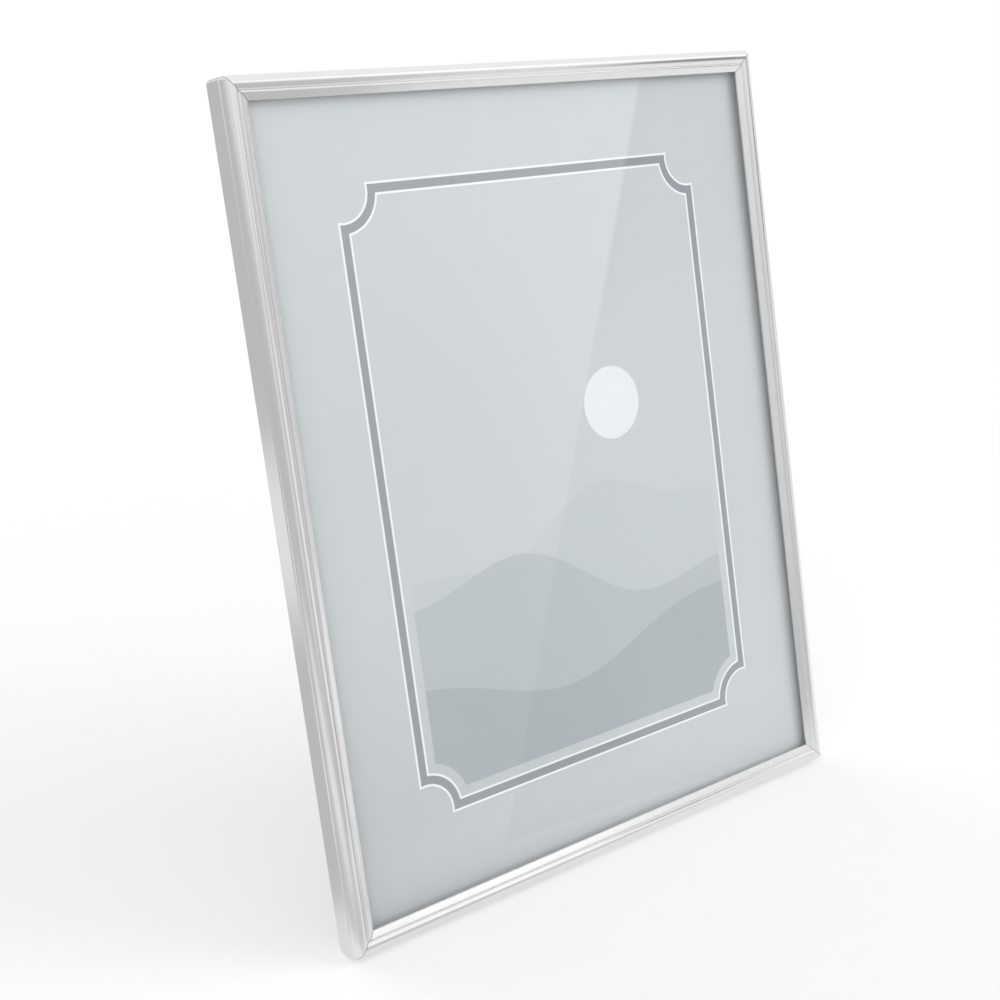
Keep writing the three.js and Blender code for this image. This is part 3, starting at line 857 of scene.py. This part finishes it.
class FRAME_OT_rivets(bpy.types.Operator):
    """Makes the domed rivets of the buttons, the hinge and the hanger"""

    bl_idname = "picture_frame.rivets"
    bl_label = "Rivets"

    def execute(self, context):
        back = context.scene.frame_back
        zinc = finished("zinc_plate", zinc_finish, back)
        on_panel = [f"turn_button_rivet_{where}" for where in BUTTON_PLACES]
        on_panel += [f"hinge_rivet_fixed_{side}" for side in BOTH_SIDES] + ["hanger_rivet"]
        on_strut = [f"hinge_rivet_moving_{side}" for side in BOTH_SIDES]
        for node in on_panel + on_strut:
            axes = STRUT_AXES if node in on_strut else PANEL_AXES
            low, high = extent(node, axes)
            middle = 0.5 * (low + high)
            radius, along = rivet_profile(back, 0.5 * (high[0] - low[0]), high[1] - low[1])
            grid = turned_grid(axes, (middle[0], low[1], middle[2]), radius, along, RIVET_SIDES)
            rivet = piece_from_grid(f"domed_{node}", grid, around_columns=True, ends=True)
            fit(rivet, node, zinc)
        return {"FINISHED"}


class FRAME_OT_hinge(bpy.types.Operator):
    """Makes the strut hinge's two rolled leaves and its pin"""

    bl_idname = "picture_frame.hinge"
    bl_label = "Strut hinge"

    def execute(self, context):
        back = context.scene.frame_back
        zinc = finished("zinc_plate", zinc_finish, back)
        for leaf in ("fixed", "moving"):
            node = f"hinge_leaf_{leaf}"
            fit(softened_copy(f"rolled_leaf_{leaf}", node, back.fitting_edge), node, zinc)
        low, high = extent("hinge_pin", PANEL_AXES)
        middle = 0.5 * (low + high)
        radius = 0.5 * (high[2] - low[2])
        rounded = 0.3 * radius
        turn = arc(0.0, 0.5 * math.pi, EDGE_STEPS)
        rim = radius - rounded * (1.0 - np.sin(turn))
        inset = rounded * (1.0 - np.cos(turn))
        axes = np.array((REAR, ACROSS, UP))
        along = np.concatenate((inset, (high[0] - low[0]) - inset[::-1]))
        foot = (middle[1], low[0], middle[2])
        grid = turned_grid(axes, foot, np.concatenate((rim, rim[::-1])), along, PIN_SIDES)
        pin = piece_from_grid("rounded_hinge_pin", grid, around_columns=True, ends=True)
        fit(pin, "hinge_pin", zinc)
        return {"FINISHED"}


def ring_loop(width, drop, bend, apex):
    """Centre line of the hanging ring in its own plane: two upper bends and a lower one, with straight runs
    between. Gives points and outward directions."""
    low = np.array((0.0, apex - drop))
    corner = np.array((0.5 * width - bend, -bend))
    slope = corner - low
    turn = math.atan2(slope[1], slope[0]) - math.asin((apex - bend) / math.hypot(*slope)) - 0.5 * math.pi
    bends = (
        (corner, bend, arc(turn, 0.5 * math.pi, RING_STEPS)),
        (corner * (-1.0, 1.0), bend, arc(0.5 * math.pi, math.pi - turn, RING_STEPS)),
        (low, apex, arc(math.pi - turn, 2.0 * math.pi + turn, APEX_STEPS)),
    )
    out = [np.column_stack((np.cos(a), np.sin(a))) for *_, a in bends]
    points = [centre + radius * way for (centre, radius, _), way in zip(bends, out)]
    return np.concatenate(points), np.concatenate(out)


class FRAME_OT_hanger(bpy.types.Operator):
    """Makes the hanger's rolled strap and its bent wire ring"""

    bl_idname = "picture_frame.hanger"
    bl_label = "Hanger"

    def execute(self, context):
        back = context.scene.frame_back
        zinc = finished("zinc_plate", zinc_finish, back)
        strap = softened_copy("rolled_strap", "hanger_strap", back.fitting_edge)
        fit(strap, "hanger_strap", zinc)
        low, high = extent("hanger_ring", UPRIGHT_AXES)
        wire = 0.5 * (high[1] - low[1])
        loop, out = ring_loop(
            high[0] - low[0] - 2.0 * wire, high[2] - low[2] - 2.0 * wire, back.ring_bend, back.ring_apex
        )
        turn = around(WIRE_SIDES)
        plan = loop[:, None] + wire * np.cos(turn)[None, :, None] * out[:, None]
        x = 0.5 * (low[0] + high[0]) + plan[..., 0]
        y = np.broadcast_to(0.5 * (low[1] + high[1]) + wire * np.sin(turn), x.shape)
        grid = place(UPRIGHT_AXES, x, y, high[2] - wire + plan[..., 1])
        ring = piece_from_grid("bent_wire_ring", grid, around_rows=True, around_columns=True)
        fit(ring, "hanger_ring", zinc)
        return {"FINISHED"}


class FRAME_OT_keys(bpy.types.Operator):
    """Finishes the corner keys inside the rails"""

    bl_idname = "picture_frame.keys"
    bl_label = "Corner keys"

    def execute(self, context):
        zinc = finished("zinc_plate", zinc_finish, context.scene.frame_back)
        for row in ("top", "bottom"):
            for side in BOTH_SIDES:
                dress(f"corner_key_{row}_{side}", zinc)
        return {"FINISHED"}


def floor_finish(stage):
    """Pale table: half lit near the frame, so that it keeps the shadow, and plain white further out."""
    finish = Finish.material("pale_table")
    at = finish.position()
    x, y = finish.parts(at)[:2]
    away = (x * x + y * y) ** 0.5
    grain = finish.noise(at, 60.0, 3.0)
    floor = np.array(stage.floor)
    tone = finish.mix(grain, tuple(floor), tuple(0.985 * floor))
    lit = finish.node("ShaderNodeBsdfDiffuse", None, {"Color": tone})[0]
    white = finish.node("ShaderNodeEmission", None, {"Color": WHITE, "Strength": 1.0})[0]
    white_near = 0.45
    share_white = white_near + (1.0 - white_near) * away.step(0.16, 0.6)
    return finish.surface(finish.blend(finish.seen() * share_white, lit, white))


def stage_card_finish(name, tone, strength, grey=None):
    """Matt card or soft box: faintly mottled, evenly lit, and clear where grey is less than one. Grey is a
    function of the place and of whether the ray comes back out of the glass."""
    finish = Finish.material(name)
    at = finish.position()
    tone = np.array(tone)
    mottled = finish.mix(finish.noise(at, 12.0), tuple(tone), tuple(0.94 * tone))
    matt = finish.node("ShaderNodeEmission", None, {"Color": mottled, "Strength": strength})[0]
    if grey is None:
        return finish.surface(matt)
    gap = finish.node("ShaderNodeBsdfTransparent")[0]
    shown = grey(*finish.parts(at), finish.rays("through"))
    return finish.surface(finish.blend(shown, gap, matt))


def room_grey(x, y, z, from_glass):
    """Where the surroundings are grey: up to the horizon in front and on the left, but for the pools of light
    and a bright strip of table along the foot of the frame; half as grey far out elsewhere, and white at the
    front right. The metal sees a higher horizon than the glass does."""
    away = (x * x + y * y) ** 0.5
    low_down = 1.0 - z.step(0.5, 1.6) * (1.0 - from_glass) - z.step(0.2, 0.9) * from_glass
    grey = low_down * (1.0 - ((0.9 * x + 0.4 * y) / away).step(0.16, 0.3))
    for pool_x, pool_y, radius, strength in POOLS:
        off = ((x - pool_x) ** 2.0 + (y - pool_y) ** 2.0) ** 0.5
        grey = grey * (1.0 - strength * (1.0 - off.step(0.6 * radius, 1.5 * radius)))
    strip = (1.0 - abs(y + 0.03).step(0.015, 0.045)) * (1.0 - abs(x).step(0.11, 0.14))
    far_out = low_down * away.step(0.3, 0.9) * (1.0 - ((0.67 * x - 0.74 * y) / away).step(0.8, 0.93))
    return (grey * (1.0 - 0.9 * strip)).most(0.55 * far_out)


def side_grey(x, y, z, from_glass):
    """Where the side card is grey: more and more towards its top, and in the metal only there."""
    in_metal = 0.1 + 0.75 * z.step(0.18, 0.26)
    return z.step(-0.2, 0.14) * (in_metal + (1.0 - in_metal) * from_glass)


def reflected_only(card, finish):
    """Makes a stage card that is seen only in reflections."""
    card.data.materials.append(finish)
    card.visible_camera = False
    card.visible_diffuse = False
    card.visible_shadow = False


def lamp(name, at, size, power):
    """Makes a soft rectangular lamp that points at the frame and isn't seen in reflections."""
    light = bpy.data.lights.new(name, "AREA")
    light.shape = "RECTANGLE"
    light.size, light.size_y = size
    light.energy = power
    made = bpy.data.objects.new(name, light)
    made.location = at
    made.rotation_euler = (Vector(LAMP_TARGET) - Vector(at)).to_track_quat("-Z", "Y").to_euler()
    made.visible_glossy = False
    made.visible_transmission = False
    bpy.context.scene.collection.objects.link(made)


class FRAME_OT_stage(bpy.types.Operator):
    """Sets up the table, the cards and soft boxes, the lamps, the white surroundings and the camera"""

    bl_idname = "picture_frame.stage"
    bl_label = "Stage"

    def execute(self, context):
        stage = context.scene.frame_stage
        edge = np.array((-TABLE_REACH, TABLE_REACH))
        table = piece_from_grid("table", place(UPRIGHT_AXES, edge[None, :], edge[:, None], 0.0))
        table.data.materials.append(floor_finish(stage))
        turn = around(ROOM_SIDES)
        reach, height = np.array(ROOM_RADII)[:, None], np.array(ROOM_HEIGHTS)[:, None]
        bowl = place(UPRIGHT_AXES, reach * np.cos(turn), reach * np.sin(turn), height)
        room = stage_card_finish("grey_room_card", stage.room_card, 1.0, room_grey)
        reflected_only(piece_from_grid("room_card", bowl, around_columns=True), room)
        side = stage_card_finish("grey_side_card", stage.side_card, 1.0, side_grey)
        reflected_only(piece_from_grid("side_card", np.array(SIDE_CARD)), side)
        for name, (strength, *corners) in SOFT_BOXES.items():
            glow = stage_card_finish(f"soft_{name}", WHITE[:3], strength)
            reflected_only(piece_from_grid(name, np.array(corners)), glow)
        for name, (at, size, power) in LAMPS.items():
            lamp(name, at, size, power)
        world = bpy.data.worlds.new("white_surroundings")
        world.use_nodes = True
        finish = Finish(world.node_tree)
        light, white = (
            finish.node("ShaderNodeBackground", None, {"Color": WHITE, "Strength": strength})[0]
            for strength in (stage.ambient, 1.0)
        )
        finish.node("ShaderNodeOutputWorld", None, {"Surface": finish.blend(finish.seen(), light, white)})
        context.scene.world = world
        toward = Vector((
            math.sin(stage.azimuth) * math.cos(stage.elevation),
            -math.cos(stage.azimuth) * math.cos(stage.elevation),
            math.sin(stage.elevation),
        ))
        right = Vector((math.cos(stage.azimuth), math.sin(stage.azimuth), 0.0))
        camera = bpy.data.objects.new("camera", bpy.data.cameras.new("camera"))
        camera.data.sensor_width = 36.0
        camera.data.lens = stage.lens
        camera.data.clip_start = 0.01
        camera.data.clip_end = 40.0
        camera.location = Vector(stage.aim) + stage.distance * toward
        camera.rotation_euler = Matrix((right, toward.cross(right), toward)).transposed().to_euler()
        context.scene.collection.objects.link(camera)
        context.scene.camera = camera
        context.scene.view_settings.view_transform = "Standard"
        return {"FINISHED"}


class FRAME_PT_pieces(bpy.types.Panel):
    """Lists the pieces of the frame and the values that shape them"""

    bl_idname = "FRAME_PT_pieces"
    bl_label = "Picture frame"
    bl_space_type = "VIEW_3D"
    bl_region_type = "UI"
    bl_category = "Frame"

    def draw(self, context):
        layout = self.layout
        for operator in OPERATORS:
            layout.operator(operator.bl_idname)
        for name, group in SETTINGS.items():
            box = layout.box()
            box.label(text=group.__doc__)
            for key in group.__annotations__:
                box.prop(getattr(context.scene, name), key)


SETTINGS = {
    "frame_moulding": MouldingSettings,
    "frame_picture": PictureSettings,
    "frame_back": BackSettings,
    "frame_stage": StageSettings,
}
OPERATORS = (
    FRAME_OT_stage,
    FRAME_OT_moulding,
    FRAME_OT_keys,
    FRAME_OT_picture,
    FRAME_OT_boards,
    FRAME_OT_buttons,
    FRAME_OT_rivets,
    FRAME_OT_hinge,
    FRAME_OT_hanger,
)
CLASSES = (*SETTINGS.values(), *OPERATORS, FRAME_PT_pieces)


def register():
    for made in CLASSES:
        bpy.utils.register_class(made)
    for name, group in SETTINGS.items():
        setattr(bpy.types.Scene, name, bpy.props.PointerProperty(type=group))


def unregister():
    for name in SETTINGS:
        delattr(bpy.types.Scene, name)
    for made in reversed(CLASSES):
        bpy.utils.unregister_class(made)


def main():
    """Registers the classes and makes every piece in order."""
    register()
    bpy.ops.picture_frame.stage()
    bpy.ops.picture_frame.moulding()
    bpy.ops.picture_frame.keys()
    bpy.ops.picture_frame.picture()
    bpy.ops.picture_frame.boards()
    bpy.ops.picture_frame.buttons()
    bpy.ops.picture_frame.rivets()
    bpy.ops.picture_frame.hinge()
    bpy.ops.picture_frame.hanger()


if __name__ == "__main__":
    main()
